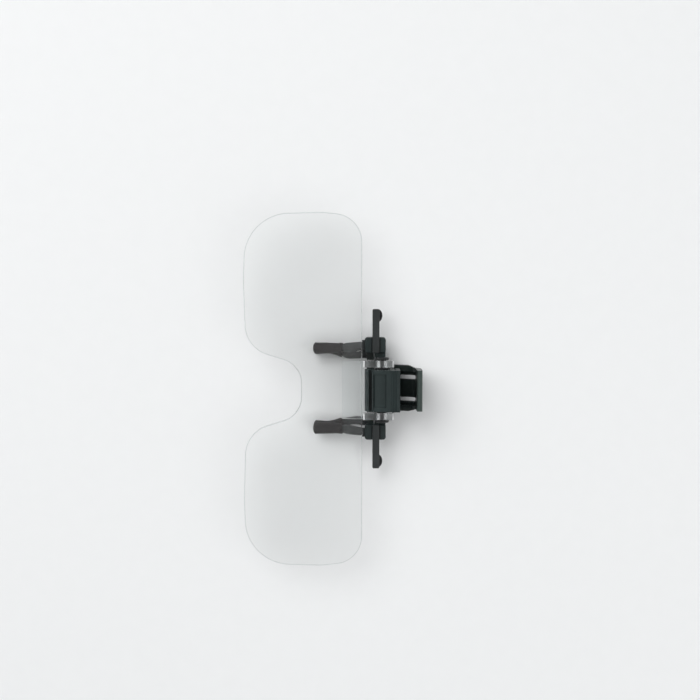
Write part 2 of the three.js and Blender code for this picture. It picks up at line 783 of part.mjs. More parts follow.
function makeSideArms() {
  const armTopX = armHeight - armBottom;
  for (const [side, sign] of sides) {
    const inner = sign * shoulderInner;
    const outer = sign * armEnd;
    const outline = roundedBox(
      -armBottom,
      armTopX,
      Math.min(inner, outer),
      Math.max(inner, outer),
      armHeight / 5,
    );
    const padX = padTop - padHalfWidth;
    const bar = slab(outline, armRearZ, -armFront, armBevel);
    const stem = (radius, z0, z1) =>
      solid(
        new THREE.CylinderGeometry(radius, radius, z1 - z0, stemSides)
          .rotateX(Math.PI / 2)
          .translate(padX, sign * padCentre, (z0 + z1) / 2),
      );
    const socket = stem(padStemRadius + runningGap, armRearZ - overrun, armRearZ + padStemDepth + runningGap);
    add(`side_arm_${side}`, cut(bar, socket), paintedSteel());

    const flatRadius = padHalfLength - padEdge;
    const profile = [
      [0, -padThickness],
      [flatRadius, -padThickness],
      [padHalfLength - padEdge / 4, padEdge - padThickness],
      [padHalfLength, -padThickness / 2],
      [padHalfLength - padEdge / 4, -padEdge],
      [flatRadius, 0],
      [0, 0],
    ];
    const button = new THREE.LatheGeometry(
      profile.map(([radius, z]) => new THREE.Vector2(radius, z)),
      pinSides,
    );
    button.applyMatrix4(uprightTurn(0)).scale(padHalfWidth / padHalfLength, 1, 1);
    const padTopZ = armRearZ - seatGap;
    const pad = solid(button).translate([padX, sign * padCentre, padTopZ]);
    const padStem = stem(padStemRadius, padTopZ - padThickness / 3, armRearZ + padStemDepth - runningGap);
    add(`arm_pad_${side}`, join(pad, padStem), rubber());
  }
}

// Points of the torsion spring's wire: a straight end against the block, the coils round the jaw pin,
// and a straight end against the lever.
function springPoints() {
  const halfCoil = (coilTurns * coilPitch) / 2;
  const tube = 2 * wireRadius;
  const blockZ = -blockRear - seatGap;
  const frontZ = coilRadius - pivotDrop;
  const frontEndX = pivotX + coilRadius + 2 * springEndBend + wireRadius;
  const { inner: knee } = jawProfile(0, jawThickness);
  const along = new THREE.Vector3(Math.cos(leverLean), 0, Math.sin(leverLean));
  const square = new THREE.Vector3(-Math.sin(leverLean), 0, Math.cos(leverLean));
  const seat = new THREE.Vector3(knee.x, -halfCoil, knee.y).addScaledVector(along, springReach);
  const frontEnd = [
    new THREE.Vector3(frontEndX, halfCoil, blockZ),
    new THREE.Vector3(frontEndX, halfCoil, blockZ - tube),
    new THREE.Vector3(frontEndX - springEndBend / 4, halfCoil, frontZ + springEndBend / 4),
    new THREE.Vector3(frontEndX - springEndBend, halfCoil, frontZ),
  ];
  const coils = Array.from({ length: coilTurns * curlSteps }, (_, i) => {
    const angle = (2 * Math.PI * i) / curlSteps;
    const x = pivotX - coilRadius * Math.sin(angle);
    const y = halfCoil - (coilPitch * i) / curlSteps;
    return new THREE.Vector3(x, y, coilRadius * Math.cos(angle) - pivotDrop);
  });
  const rearEnd = [
    new THREE.Vector3(pivotX + springEndBend, -halfCoil, frontZ),
    seat.clone().addScaledVector(square, seatGap + 2 * springEndBend).addScaledVector(along, -springEndBend),
    seat.clone().addScaledVector(square, seatGap + tube),
    seat.clone().addScaledVector(square, seatGap),
  ];
  return { points: [...frontEnd, ...coils, ...rearEnd], coils };
}

// The jaw pin with its torsion spring, whose two ends push the block and the lever apart.
function makeJawPivot() {
  add("jaw_pin", headedPin(jawPinRadius, jawHeadRadius, jawHalfWidth, pivotX, -pivotDrop), brightSteel());

  const { points, coils } = springPoints();
  const section = new THREE.Shape();
  for (let i = 0; i < wireSides; i += 1) {
    const angle = (2 * Math.PI * i) / wireSides;
    const at = [wireRadius * Math.cos(angle), wireRadius * Math.sin(angle)];
    if (i === 0) section.moveTo(...at);
    else section.lineTo(...at);
  }
  section.closePath();
  const wire = new THREE.ExtrudeGeometry(section, {
    steps: points.length + curlSteps,
    bevelEnabled: false,
    extrudePath: new THREE.CatmullRomCurve3(points, false, "centripetal"),
  });
  add("jaw_spring", solid(wire), brightSteel());

  let least = Infinity;
  coils.forEach((point, i) => {
    coils.slice(i + curlSteps - 1).forEach((other) => {
      least = Math.min(least, point.distanceTo(other) - 2 * wireRadius);
    });
  });
  console.log(`spring: least gap between turns ${least.toFixed(2)} mm`);
}

makeLensPair();
makeHingeBracket();
makeFlipHinge();
makeFrontFrame();
makeGripCover();
makeSideArms();
makeLegs();
makeRearJaw();
makeJawPivot();

// The origin is the middle of the underside, with the part lying on its back.
const bounds = new THREE.Box3().setFromObject(pieces);
pieces.position.set(-(bounds.min.x + bounds.max.x) / 2, -(bounds.min.y + bounds.max.y) / 2, -bounds.min.z);
const place = (x, z) => `${(x + pieces.position.x).toFixed(3)}, ${(z + pieces.position.z).toFixed(3)}`;
console.log(`flip axis x, z: ${place(0, 0)}`);
console.log(`jaw axis x, z: ${place(pivotX, -pivotDrop)}`);

const magnifier = new THREE.Group();
magnifier.name = "clip_on_magnifier";
magnifier.add(pieces);
export default magnifier;
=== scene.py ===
"""Looks for the clip-on magnifier: clear lenses, moulded plastic, rubber and steel on a pale floor.

Shapes are worked out in millimetres from the flip axis, as the part itself is: X up to the thumb
shelf, Y along the lens pair, Z out of the front. They are scaled and moved into the row frame
when a piece is made.
"""

import json
import math

import bmesh
import bpy
from mathutils import Matrix, Vector
from mathutils.geometry import delaunay_2d_cdt


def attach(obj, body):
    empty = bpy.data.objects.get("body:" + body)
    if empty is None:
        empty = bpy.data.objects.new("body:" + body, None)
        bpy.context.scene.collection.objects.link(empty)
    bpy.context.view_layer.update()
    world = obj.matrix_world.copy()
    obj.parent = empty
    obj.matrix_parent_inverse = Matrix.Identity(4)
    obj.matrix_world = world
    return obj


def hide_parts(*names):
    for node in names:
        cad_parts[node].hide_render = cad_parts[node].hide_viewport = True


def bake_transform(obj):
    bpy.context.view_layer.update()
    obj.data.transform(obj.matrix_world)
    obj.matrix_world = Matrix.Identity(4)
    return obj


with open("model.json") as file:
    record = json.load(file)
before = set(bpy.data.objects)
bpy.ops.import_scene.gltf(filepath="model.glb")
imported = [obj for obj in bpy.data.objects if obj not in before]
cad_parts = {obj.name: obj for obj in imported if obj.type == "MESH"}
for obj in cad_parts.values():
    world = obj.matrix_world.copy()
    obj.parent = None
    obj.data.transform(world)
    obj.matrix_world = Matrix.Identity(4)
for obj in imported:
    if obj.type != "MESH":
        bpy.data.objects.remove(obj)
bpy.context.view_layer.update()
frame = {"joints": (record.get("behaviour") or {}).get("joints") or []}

mm = 0.001
flip_joint = next(joint for joint in frame["joints"] if joint["name"] == "lens_flip")
flip_axis = Vector(flip_joint["pos_m"])
to_row = Matrix.Translation(flip_axis) @ Matrix.Scale(mm, 4)
sides = {"left": 1, "right": -1}

# Fits
seat_gap = 0.3
running_gap = 0.08
tiny = 1e-6  # a length that counts as none
rounding = 1e-9  # what a sum of lengths may be out by
overrun = 1  # how far a cutting or joining solid runs past what it cuts or joins

# Fineness of curves, as counts of steps
corner_steps = 8  # in a quarter turn
lens_corner_steps = 40  # in a quarter turn
lens_edge_steps = 5  # from a face of the lens over to its rim
ease_steps = 3
shoulder_ease_steps = 4
washer_ease_steps = 2
rod_steps = 48
lug_steps = 64
barrel_steps = 128
cover_steps = 40
panel_steps = 30
grip_corner_steps = 12
bend_steps = 32
lip_steps = 16
rib_steps = 24
stem_steps = 32
pad_steps = 64
pad_edge_steps = 16
path_steps = 24  # between two points of a path
leg_steps = 120
leg_section_steps = 32
spring_steps = 40  # in a turn
wire_steps = 12

# Where edges count as sharp
ease_angle = math.radians(32)
crease_angle = math.radians(38)
wire_crease_angle = math.radians(60)

# Lens pair
lens_clearance = 0.9  # below the hinge barrel
lens_height = 41
lens_half_width = 62.5
outer_top_radius = 10
outer_bottom_radius = 16
nose_bottom_radius = 11
notch_radius = 8.6
notch_depth = 19.5
notch_half_width = 8.8
notch_flare = 6
edge_bow = 0.7
lens_surface_radius = 122.5
lens_centre_thickness = 4.9
lens_rim_thickness = 1.4
lens_back = 1
optical_spacing = 70
lens_edge_ease = 0.55
lens_grid = 1.1
lens_blend = 0.12  # how softly the lobes run into the bridge

# Clear hinge bracket
plate_thickness = 1.8
plate_lap = 7.1
ear_thickness = 2.3
ear_reach = 4.2
ear_half_depth = 2.6
ear_radius = 1
clear_ease = 0.45

# Block with the hinge barrel, and its cover
block_half_width = 7.3
barrel_radius = 6.1
block_height = 6.3
block_rear = 5.8
nose_strip = 1.4
groove_width = 1.1
groove_floor = 0.6
cover_seat = 2.6
cover_top_wall = 1.5
cover_skirt = 5
grip_step = 0.6
grip_start = 3.2
grip_corner = 1
ridge_count = 3
ridge_depth = 0.2
panel_start = -3.1
panel_end = 1.4
panel_half_width = 5.8
panel_depth = 0.45
mould_ease = 0.18
cover_ease = 0.12

# Pins and washers
hinge_pin_radius = 1.7
hinge_head_radius = 2.5
pin_head_thickness = 0.8
washer_radius = 2.8
washer_thickness = 0.5
washer_ease = 0.1
jaw_pin_radius = 0.9
jaw_head_radius = 1.5

# Cross bar, shoulders and lugs
bar_top = 1.4
bar_bottom = 2.5
bar_thickness = 2.2
shoulder_inner = 12.7
shoulder_width = 5.6
shoulder_top = 1.5
shoulder_bottom = 6
shoulder_front = 4.6
shoulder_rear = 8.8
shoulder_radius = 1
shoulder_ease = 0.6
lug_inner = 3.4
lug_thickness = 1.6
pivot_radius = 1.9

# Jaw
pivot_x = -0.5
pivot_drop = 10.3
floor_drop = 13
jaw_thickness = 2
shelf_thickness = 1.9
shelf_top = 14.1
shelf_front = 5
jaw_sweep = 6
lever_lean = math.pi / 8
jaw_half_width = 8.2
shelf_half_width = 7.2
shelf_narrowing = 2.4
rib_width = 2.2
rib_height = 1
slot_inner = 3.2
slot_width = 1.5
slot_start = 5.4
window_top = 3.4
window_bottom = 2.7
rail_height = 2
wing_half_width = 14.3
wing_rise = 0.5
wing_ease = 0.4

# Spring
wire_radius = 0.3
coil_radius = 1.65
coil_pitch = 1.06
coil_turns = 5
curl_steps = 8
spring_end_bend = 0.9
spring_reach = 2.4

# Side arms and pads
arm_end = 28.4
arm_bottom = 3.3
arm_height = 2.5
arm_front = 3.5
arm_thickness = 1.8
arm_ease = 0.3
pad_half_length = 2.35
pad_half_width = 1.75
pad_thickness = 1.8
pad_edge = 0.4
pad_top = 0.3
pad_centre = 26
pad_stem_radius = 0.65
pad_stem_depth = 1

# Legs and tips
tip_start = 14.3
tip_end = 24.6
tip_spacing = 30.2
grip_plane = 9.6
tip_half_thickness = 1.8
grip_flat_depth = 0.4
tip_collar_half_width = 1.75
tip_toe_half_width = 2.1
leg_half_thickness = 0.65
leg_root_half_width = 1.65
leg_end_half_width = 0.9
leg_socket = 2.4
leg_floor = 1.2
leg_taper = (0.46, 0.64)  # where along a leg it narrows
leg_squareness = 0.6  # 1 is an ellipse, less is squarer
tip_squareness = 0.75
tip_bead = 0.15
tip_bead_share = 0.14  # of the leg's stretch inside the sleeve
tip_bead_fall = 4  # how sharply the bead ends
tip_dome_steps = 12
tip_dome_rest = 0.4  # the share of a step by which the dome stays short of its pole
tip_ease = 0.35
front_leg_root_y = 15.7
front_leg_root_drop = 6.9
front_bow = 1.5
rear_leg_root_y = 12.2
rear_leg_root_drop = 12
rear_bow = 0.25
rear_inboard = (1, 0.5)  # how much of a leg's offset it keeps at its bow and collar
front_inboard = (0.5, 0.1)

# What the sizes above give
lens_drop = barrel_radius + lens_clearance
ear_inner = block_half_width + washer_thickness + seat_gap
ear_outer = ear_inner + ear_thickness
lens_top_x = -lens_drop
lens_bottom_x = lens_top_x - lens_height
notch_x = lens_bottom_x + notch_depth
cover_bottom_x = groove_width + nose_strip - barrel_radius
cover_start_x = nose_strip - barrel_radius
core_top_x = block_height - cover_top_wall - seat_gap
shelf_under = shelf_top - shelf_thickness
jaw_front_z = jaw_thickness - floor_drop
bar_rear_z = -block_rear - bar_thickness
shoulder_outer = shoulder_inner + shoulder_width
arm_rear_z = -arm_front - arm_thickness
rail_top_x = pivot_x - window_bottom
rail_bottom_x = rail_top_x - rail_height
window_half_width = lug_inner + lug_thickness + seat_gap

# Outlines and solids


def arc(centre, radius, start, end, steps):
    """Points of an arc in a plane, both ends included."""
    angles = [start + (end - start) * i / steps for i in range(steps + 1)]
    x, y = centre
    return [Vector((x + radius * math.cos(a), y + radius * math.sin(a))) for a in angles]


def rounded(corners, steps=corner_steps):
    """A closed outline through corners, each (x, y, radius)."""
    points = []
    for i, (x, y, radius) in enumerate(corners):
        corner = Vector((x, y))
        if radius == 0:
            points.append(corner)
            continue
        before = (Vector(corners[i - 1][:2]) - corner).normalized()
        after = (Vector(corners[(i + 1) % len(corners)][:2]) - corner).normalized()
        half_angle = before.angle(after) / 2
        centre = corner + (before + after).normalized() * radius / math.sin(half_angle)
        reach = radius / math.tan(half_angle)
        first = corner + before * reach - centre
        last = corner + after * reach - centre
        start = math.atan2(first.y, first.x)
        sweep = (math.atan2(last.y, last.x) - start + math.pi) % (2 * math.pi) - math.pi
        count = max(2, round(steps * abs(sweep) / (math.pi / 2)))
        points += arc(centre, radius, start, start + sweep, count)
    return points


def rounded_box(x0, x1, y0, y1, radius):
    y0, y1 = sorted((y0, y1))
    return rounded([(x0, y0, radius), (x1, y0, radius), (x1, y1, radius), (x0, y1, radius)])


def scratch(mesh):
    """An object for the solid-making steps, in millimetres."""
    thing = bpy.data.objects.new("scratch", mesh)
    bpy.context.scene.collection.objects.link(thing)
    return thing


def from_bmesh(bm):
    bmesh.ops.recalc_face_normals(bm, faces=bm.faces)
    mesh = bpy.data.meshes.new("scratch")
    bm.to_mesh(mesh)
    bm.free()
    return scratch(mesh)


def prism(outline, low, high, upright=False):
    """An outline pushed along Z, or an outline in X and Z pushed along Y."""
    bm = bmesh.new()
    place = (lambda p, t: (p[0], t, p[1])) if upright else (lambda p, t: (p[0], p[1], t))
    rings = [[bm.verts.new(place(p, t)) for p in outline] for t in sorted((low, high))]
    count = len(outline)
    for ring in rings:
        bm.faces.new(ring)
    for i in range(count):
        j = (i + 1) % count
        bm.faces.new((rings[0][i], rings[0][j], rings[1][j], rings[1][i]))
    return from_bmesh(bm)


def block(x0, x1, y0, y1, z0, z1):
    y0, y1 = sorted((y0, y1))
    return prism([(x0, y0), (x1, y0), (x1, y1), (x0, y1)], z0, z1)


def full_turn(steps):
    return [2 * math.pi * i / steps for i in range(steps)]


def turned(profile, x, z, steps):
    """A body of revolution about a line along Y.

    The profile holds (radius, y) pairs that start and end on the line.
    """
    bm = bmesh.new()
    rings = []
    for radius, y in profile:
        angles = full_turn(steps) if radius else [0]
        places = [(x + radius * math.cos(a), y, z + radius * math.sin(a)) for a in angles]
        rings.append([bm.verts.new(place) for place in places])
    for low, high in zip(rings, rings[1:]):
        for i in range(steps):
            j = (i + 1) % steps
            corners = [
                low[i % len(low)],
                low[j % len(low)],
                high[j % len(high)],
                high[i % len(high)],
            ]
            bm.faces.new(list(dict.fromkeys(corners)))
    return from_bmesh(bm)


def rod(radius, y0, y1, x, z, steps=rod_steps):
    return turned([(0, y0), (radius, y0), (radius, y1), (0, y1)], x, z, steps)


def settled(thing):
    """The object with its modifiers worked into its mesh."""
    graph = bpy.context.evaluated_depsgraph_get()
    mesh = bpy.data.meshes.new_from_object(thing.evaluated_get(graph))
    old = thing.data
    thing.modifiers.clear()
    thing.data = mesh
    bpy.data.meshes.remove(old)
    return thing


def combined(operation, body, *others):
    for other in others:
        step = body.modifiers.new("step", "BOOLEAN")
        step.operation = operation
        step.solver = "EXACT"
        step.object = other
    settled(body)
    for other in others:
        bpy.data.meshes.remove(other.data)
    return body


def join(body, *others):
    return combined("UNION", body, *others)


def cut(body, *others):
    return combined("DIFFERENCE", body, *others)


def eased(thing, width, segments=ease_steps):
    """The solid with its sharp edges rounded."""
    step = thing.modifiers.new("ease", "BEVEL")
    step.width = width
    step.segments = segments
    step.limit_method = "ANGLE"
    step.angle_limit = ease_angle
    step.miter_outer = "MITER_ARC"
    return settled(thing)


def piece(thing, node, material, body, crease=crease_angle):
    """Makes a solid into a shown piece that stands for a CAD node.

    It moves with its body, if one is named.
    """
    mesh = thing.data
    mesh.transform(to_row)
    mesh.name = node
    thing.name = f"{node}_shown"
    mesh.materials.clear()
    mesh.materials.append(material)
    mesh.shade_smooth()
    mesh.set_sharp_from_angle(angle=crease)
    level_faces = thing.modifiers.new("level", "WEIGHTED_NORMAL")
    level_faces.keep_sharp = True
    settled(thing).data.name = node
    if body:
        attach(thing, body)
    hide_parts(node)
    return thing


# Paths and lofts


def through(points, steps):
    """A smooth line through points (centripetal), as evenly spaced points with their directions."""
    padded = [2 * points[0] - points[1], *points, 2 * points[-1] - points[-2]]
    fine = []
    for p0, p1, p2, p3 in zip(padded, padded[1:], padded[2:], padded[3:]):
        spans = ((p0, p1), (p1, p2), (p2, p3))
        gap0, gap1, gap2 = [max((q - p).length, tiny) ** 0.5 for p, q in spans]
        slope1 = ((p1 - p0) / gap0 - (p2 - p0) / (gap0 + gap1) + (p2 - p1) / gap1) * gap1
        slope2 = ((p2 - p1) / gap1 - (p3 - p1) / (gap1 + gap2) + (p3 - p2) / gap2) * gap1
        for i in range(path_steps):
            t = i / path_steps
            fine.append(
                p1 * (2 * t**3 - 3 * t**2 + 1)
                + slope1 * (t**3 - 2 * t**2 + t)
                + p2 * (3 * t**2 - 2 * t**3)
                + slope2 * (t**3 - t**2)
            )
    fine.append(points[-1].copy())
    lengths = [0]
    for a, b in zip(fine, fine[1:]):
        lengths.append(lengths[-1] + (b - a).length)
    spaced = []
    k = 0
    for i in range(steps + 1):
        goal = lengths[-1] * i / steps
        while k < len(fine) - 2 and lengths[k + 1] < goal:
            k += 1
        share = (goal - lengths[k]) / (lengths[k + 1] - lengths[k])
        spaced.append(fine[k].lerp(fine[k + 1], share))
    directions = []
    for i in range(steps + 1):
        ahead = spaced[min(i + 1, steps)]
        behind = spaced[max(i - 1, 0)]
        directions.append((ahead - behind).normalized())
    return spaced, directions


def skin(bm, rings):
    """Joins each ring of corners to the next one with faces."""
    count = len(rings[0])
    for low, high in zip(rings, rings[1:]):
        for i in range(count):
            j = (i + 1) % count
            bm.faces.new((low[i], low[j], high[j], high[i]))


def loft(rings):
    """A closed body through rings of points."""
    bm = bmesh.new()
    loops = [[bm.verts.new(point) for point in ring] for ring in rings]
    skin(bm, loops)
    bm.faces.new(loops[0])
    bm.faces.new(loops[-1])
    return from_bmesh(bm)


def section(centre, tangent, half_width, half_thickness, squareness):
    """A rounded ring square to a path: width lies along Y, thickness across it."""
    side = Vector((0, 1, 0))
    side = (side - tangent * side.dot(tangent)).normalized()
    normal = tangent.cross(side)
    ring = []
    for i in range(leg_section_steps):
        angle = 2 * math.pi * (i + 0.5) / leg_section_steps
        across = math.copysign(abs(math.cos(angle)) ** squareness, math.cos(angle))
        over = math.copysign(abs(math.sin(angle)) ** squareness, math.sin(angle))
        ring.append(centre + side * half_width * across + normal * half_thickness * over)
    return ring


def blend_share(value, low, high):
    t = min(max((value - low) / (high - low), 0), 1)
    return t * t * (3 - 2 * t)


def mixed(a, b, share):
    return a + (b - a) * share


# Materials
tone_patches = 180  # noise features per metre, as are the next one and each surface's grain
gloss_patches = 420
patch_detail = 4
grain_detail = 6
noise_roughness = 0.55
noise_span = (0.35, 0.65)  # where most of a noise texture's values lie
tone_swing = 0.12
bump_strength = 0.35
edge_band = (0.1, 0.3, 0.85, 0.95)  # how upright the normal is where the rim's looks come and go
aslant_blend = 0.35
aslant_span = (0.1, 0.9)
lamp_share_face = 0.98
lamp_share_aslant = 0.7


def feed(tree, socket, value):
    """Sets a socket, or links it where the value is another node's output."""
    if isinstance(value, bpy.types.NodeSocket):
        tree.links.new(value, socket)
    else:
        socket.default_value = value


def add_node(tree, kind, inputs, **settings):
    """A new shader node with its settings, and its inputs as values or other nodes' outputs."""
    node = tree.nodes.new(f"ShaderNode{kind}")
    for name, value in settings.items():
        setattr(node, name, value)
    for place, value in inputs.items():
        feed(tree, node.inputs[place], value)
    return node


def coordinates(tree, kind):
    return add_node(tree, "TexCoord", {}).outputs[kind]


def upright_part(tree, vector):
    return add_node(tree, "SeparateXYZ", {"Vector": vector}).outputs["Z"]


def noise(tree, scale, detail=patch_detail):
    """A noise texture in object space, with its size in features per metre."""
    inputs = {"Scale": scale, "Detail": detail, "Roughness": noise_roughness}
    inputs["Vector"] = coordinates(tree, "Object")
    return add_node(tree, "TexNoise", inputs).outputs["Fac"]


def stops(tree, value, *places):
    """Colours or greys along a value, from (value, colour or grey) pairs."""
    node = add_node(tree, "ValToRGB", {"Fac": value})
    elements = node.color_ramp.elements
    while len(elements) < len(places):
        elements.new(0.5)
    for element, (place, _) in zip(elements, places):
        element.position = place
    for element, (_, colour) in zip(elements, places):
        grey = not isinstance(colour, tuple)
        element.color = (colour, colour, colour, 1) if grey else (*colour[:3], 1)
    return node.outputs["Color"]


def ramp(tree, value, low, high, span=noise_span):
    """Colours or greys from low to high as the value goes over a span."""
    return stops(tree, value, (span[0], low), (span[1], high))


def shaded(colour, share):
    """The colour made lighter or darker by a share."""
    return tuple(min(c * (1 + share), 1) for c in colour)


def set_looks(material, looks):
    """Sets or links sockets of the material's shader. A low line in a name stands for a space."""
    shader = material.node_tree.nodes["Principled BSDF"]
    for socket, value in looks.items():
        feed(material.node_tree, shader.inputs[socket.replace("_", " ")], value)


def surface(name, colour, roughness, grain, depth, swing=tone_swing, **sockets):
    """A moulded or painted surface: uneven tone, uneven gloss and a fine grain of a depth in mm."""
    material = bpy.data.materials.new(name)
    material.use_nodes = True
    tree = material.node_tree
    tone = ramp(tree, noise(tree, tone_patches), shaded(colour, -swing), shaded(colour, swing))
    gloss = ramp(tree, noise(tree, gloss_patches), *roughness)
    relief = {"Strength": bump_strength, "Distance": depth * mm}
    relief["Height"] = noise(tree, grain, grain_detail)
    bump = add_node(tree, "Bump", relief).outputs["Normal"]
    set_looks(material, {"Base Color": tone, "Roughness": gloss, "Normal": bump, **sockets})
    return material


def mix_over(material, share, other):
    """Lets another shader take the place of the material's own one by a share."""
    tree = material.node_tree
    own = tree.nodes["Principled BSDF"].outputs["BSDF"]
    mix = add_node(tree, "MixShader", {"Fac": share, 1: own, 2: other})
    tree.links.new(mix.outputs["Shader"], tree.nodes["Material Output"].inputs["Surface"])


def let_lamps_through(material):
    """Lets lamp light pass a clear piece to what lies behind it, less so where it comes aslant."""
    tree = material.node_tree
    aslant = add_node(tree, "LayerWeight", {"Blend": aslant_blend}).outputs["Facing"]
    tint = ramp(tree, aslant, lamp_share_face, lamp_share_aslant, aslant_span)
    through_light = add_node(tree, "BsdfTransparent", {"Color": tint}).outputs["BSDF"]
    lamp_ray = add_node(tree, "LightPath", {}).outputs["Is Shadow Ray"]
    mix_over(material, lamp_ray, through_light)


def mark_edges(material, **looks):
    """Gives a flat clear piece other looks where a broad face rounds into the rim.

    Each look is socket=(face, edge).
    """
    tree = material.node_tree
    upright = upright_part(tree, coordinates(tree, "Normal"))
    size = add_node(tree, "Math", {0: upright}, operation="ABSOLUTE").outputs["Value"]
    for socket, (face, edge) in looks.items():
        places = zip(edge_band, (face, edge, edge, face))
        set_looks(material, {socket: stops(tree, size, *places)})


def blend_upwards(material, socket, colour, low, high):
    """Blends the colour or grey on a socket into another one between two heights."""
    tree = material.node_tree
    before = tree.nodes["Principled BSDF"].inputs[socket].links[0].from_socket
    height = upright_part(tree, coordinates(tree, "Object"))
    reach = add_node(tree, "MapRange", {"Value": height, "From Min": low, "From Max": high})
    inputs = {"Factor": reach.outputs["Result"], "A": before, "B": (*colour, 1)}
    mix = add_node(tree, "Mix", inputs, data_type="RGBA")
    set_looks(material, {socket: mix.outputs["Result"]})


dull = {"Specular_IOR_Level": 0.35}
very_dull = {"Specular_IOR_Level": 0.2}
clear = {"Transmission_Weight": 1.0, "IOR": 1.49}
lens_tint = (0.985, 0.993, 0.99)
# Painted shade: the lens rim's grey tint stands for its dark edge line
lens_rim_painted_shade = (0.6, 0.63, 0.63)
block_tone = (0.0165, 0.0255, 0.0255)
block_plastic = surface("block_plastic", block_tone, (0.34, 0.48), 5200, 0.02, **dull)
jaw_plastic = surface("jaw_plastic", (0.017, 0.0235, 0.022), (0.28, 0.42), 4200, 0.015, **dull)
tip_rubber = surface("tip_rubber", (0.011, 0.009, 0.0095), (0.6, 0.78), 6000, 0.03, **very_dull)
pad_rubber = surface("pad_rubber", (0.02, 0.021, 0.0215), (0.55, 0.72), 6000, 0.03, **dull)
steel_paint = (0.027, 0.031, 0.0315)
painted_steel = surface("painted_steel", steel_paint, (0.32, 0.46), 7000, 0.01, **dull)
black_steel = surface("black_steel", (0.012, 0.013, 0.014), (0.3, 0.42), 3500, 0.006, **dull)
steel_tone = (0.55, 0.56, 0.57)
bright_steel = surface("bright_steel", steel_tone, (0.22, 0.34), 3500, 0.004, 0.05, Metallic=1.0)
lens_acrylic = surface("lens_acrylic", lens_tint, (0.0, 0.02), 60, 0.01, 0.01, **clear)
bracket_tint = (0.93, 0.95, 0.95)
bracket_acrylic = surface("bracket_acrylic", bracket_tint, (0.12, 0.18), 700, 0.01, 0.02, **clear)

# The rims of the clear pieces are duller than their faces. The lens rim is also tinted grey:
# painted shade, standing for the dark edge line that refraction gives
mark_edges(lens_acrylic, Base_Color=(lens_tint, lens_rim_painted_shade), Roughness=(0.01, 0.15))
mark_edges(bracket_acrylic, Transmission_Weight=(1, 0.2), Roughness=(0.12, 0.35))

# Painted highlight: the thumb shelf's lip is painted lighter than the lever, as where it catches
# the light
lip_painted_highlight = (0.04, 0.055, 0.05)
lip_z = flip_axis.z + shelf_front * mm
lip_start = lip_z - 2 * shelf_thickness * mm
lip_end = lip_z - shelf_thickness / 4 * mm
blend_upwards(jaw_plastic, "Base Color", lip_painted_highlight, lip_start, lip_end)

# The ears are duller than the plate, so what lies behind them shows softly
ear_roughness = (0.5, 0.5, 0.5)
ear_start = flip_axis.z - lens_back * mm
blend_upwards(bracket_acrylic, "Roughness", ear_roughness, ear_start, flip_axis.z)

let_lamps_through(lens_acrylic)
let_lamps_through(bracket_acrylic)


# Lens pair: one moulding, worked out as a surface over its outline


def lens_outline():
    flare_y = notch_half_width + notch_flare
    half = [
        (notch_x, notch_half_width, notch_radius),
        (lens_bottom_x, flare_y, nose_bottom_radius),
        (lens_bottom_x - edge_bow, (flare_y + lens_half_width) / 2, lens_height),
        (lens_bottom_x, lens_half_width - edge_bow, outer_bottom_radius),
        (lens_top_x - lens_height / 3, lens_half_width, lens_height / 2),
        (lens_top_x, lens_half_width - 2 * edge_bow, outer_top_radius),
    ]
    mirrored = [(x, -y, radius) for x, y, radius in reversed(half)]
    return even(rounded(half + mirrored, lens_corner_steps), lens_grid)


def even(outline, spacing):
    """A closed outline again, with its points evenly spaced."""
    loop = [*outline, outline[0]]
    total = sum((b - a).length for a, b in zip(loop, loop[1:]))
    count = round(total / spacing)
    step = total / count
    points = []
    along = 0
    for a, b in zip(loop, loop[1:]):
        span = (b - a).length
        while len(points) < count and len(points) * step <= along + span + rounding:
            points.append(a.lerp(b, (len(points) * step - along) / span if span else 0))
        along += span
    return points


def inset(outline, amount):
    """The outline moved inwards, whichever way round its points run."""
    area = sum(a.cross(b) for a, b in zip(outline, [*outline[1:], outline[0]]))
    turn = 1 if area > 0 else -1
    moved = []
    for i, point in enumerate(outline):
        along = (outline[(i + 1) % len(outline)] - outline[i - 1]).normalized()
        moved.append(point + Vector((-along.y, along.x)) * amount * turn)
    return moved


def lens_front(x, y):
    """Height of the lens's front face over a point."""
    rim = lens_rim_thickness - lens_back
    centre_x = lens_top_x - lens_height / 2
    off = math.hypot(x - centre_x, abs(y) - optical_spacing / 2)
    cap = lens_centre_thickness - lens_back - lens_surface_radius
    cap += math.sqrt(lens_surface_radius**2 - min(off, lens_height) ** 2)
    return (rim + cap + math.sqrt((rim - cap) ** 2 + lens_blend**2)) / 2


def inside(point, outline):
    crossings = 0
    for a, b in zip(outline, [*outline[1:], outline[0]]):
        if (a.y > point.y) != (b.y > point.y):
            if point.x < a.x + (point.y - a.y) * (b.x - a.x) / (b.y - a.y):
                crossings += 1
    return crossings % 2 == 1


def grid_inside(outline, corners):
    """Points inside an outline, on a triangular grid that spans the corners."""
    low_x, low_y = min(p.x for p in corners), min(p.y for p in corners)
    high_x, high_y = max(p.x for p in corners), max(p.y for p in corners)
    row_gap = lens_grid * math.sqrt(3) / 2
    points = []
    for i in range(math.ceil((high_x - low_x) / row_gap)):
        for j in range(math.ceil((high_y - low_y) / lens_grid)):
            y = low_y + (j + (i % 2) / 2) * lens_grid
            point = Vector((low_x + i * row_gap, y))
            if inside(point, outline):
                points.append(point)
    return points


